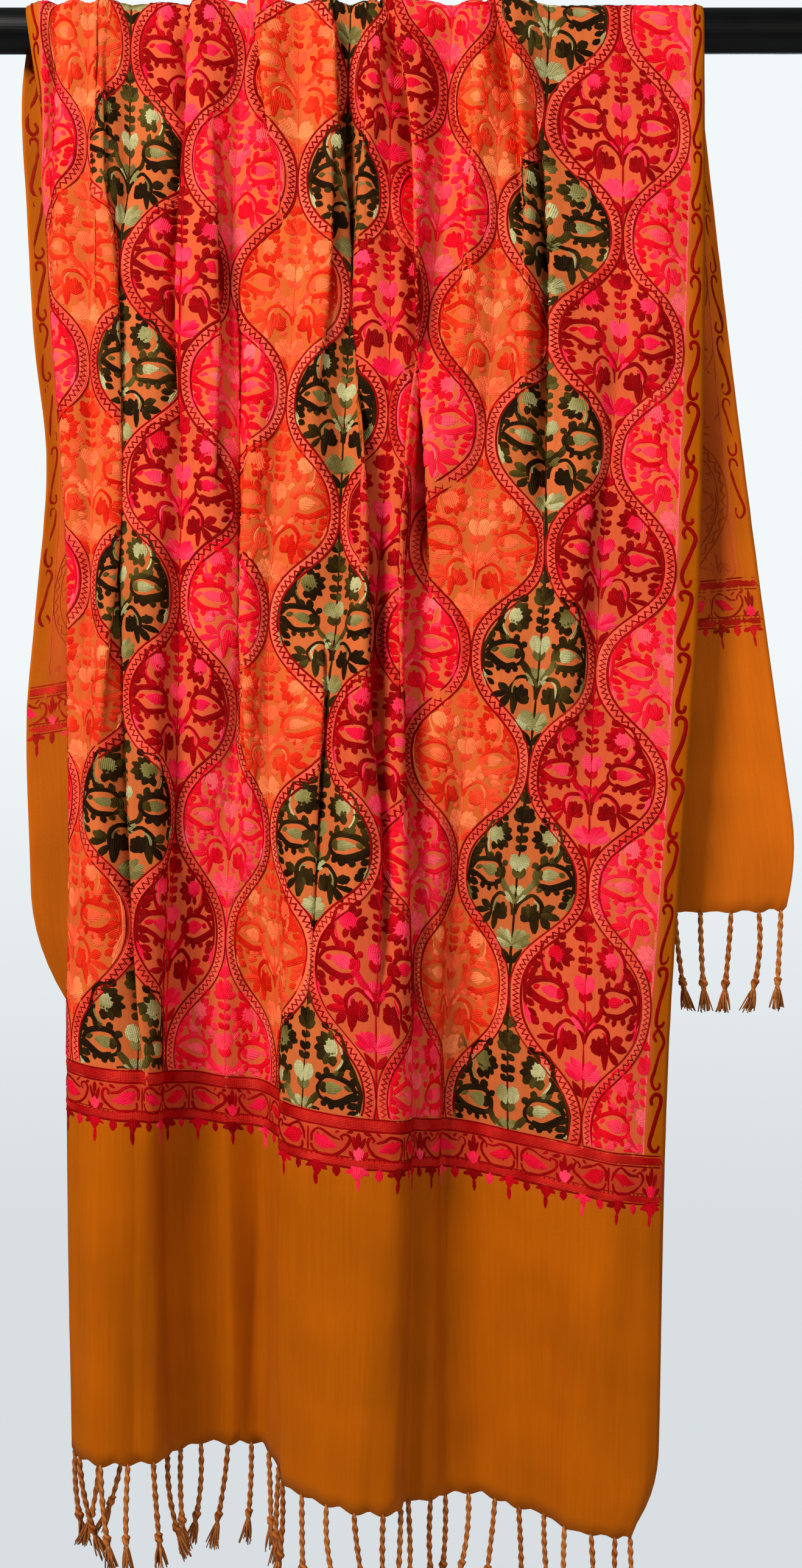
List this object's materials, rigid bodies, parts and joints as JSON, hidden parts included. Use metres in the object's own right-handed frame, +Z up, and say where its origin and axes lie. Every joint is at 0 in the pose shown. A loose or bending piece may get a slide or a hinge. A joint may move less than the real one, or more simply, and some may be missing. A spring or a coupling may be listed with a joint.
{
  "type": "kashmiri shawl on a rod",
  "caption": "Long hand-embroidered wool stole with an ogee lattice of flower sprays and knotted fringes, draped over a round black rod.",
  "frame": {"origin": "on the rod's axis, halfway along the rod, where the rod is held", "axes": "X along the rod, +X to the right seen from the front; -Y towards the front, the side of the long fall; +Z up"},
  "size_m": [0.8, 0.1101, 1.3573],
  "materials": {
    "rod_satin": "satin black paint on a steel tube",
    "stitched_wool": "soft mustard-tan wool twill under dense thread embroidery",
    "twisted_wool": "hand-twisted, knotted and frayed warp ends"
  },
  "bodies": {
    "root": {"rod": "rod_satin", "fall_front": "stitched_wool", "saddle": "stitched_wool", "fall_back": "stitched_wool", "fringe_front": "twisted_wool", "fringe_back": "twisted_wool"}
  },
  "joints": []
}
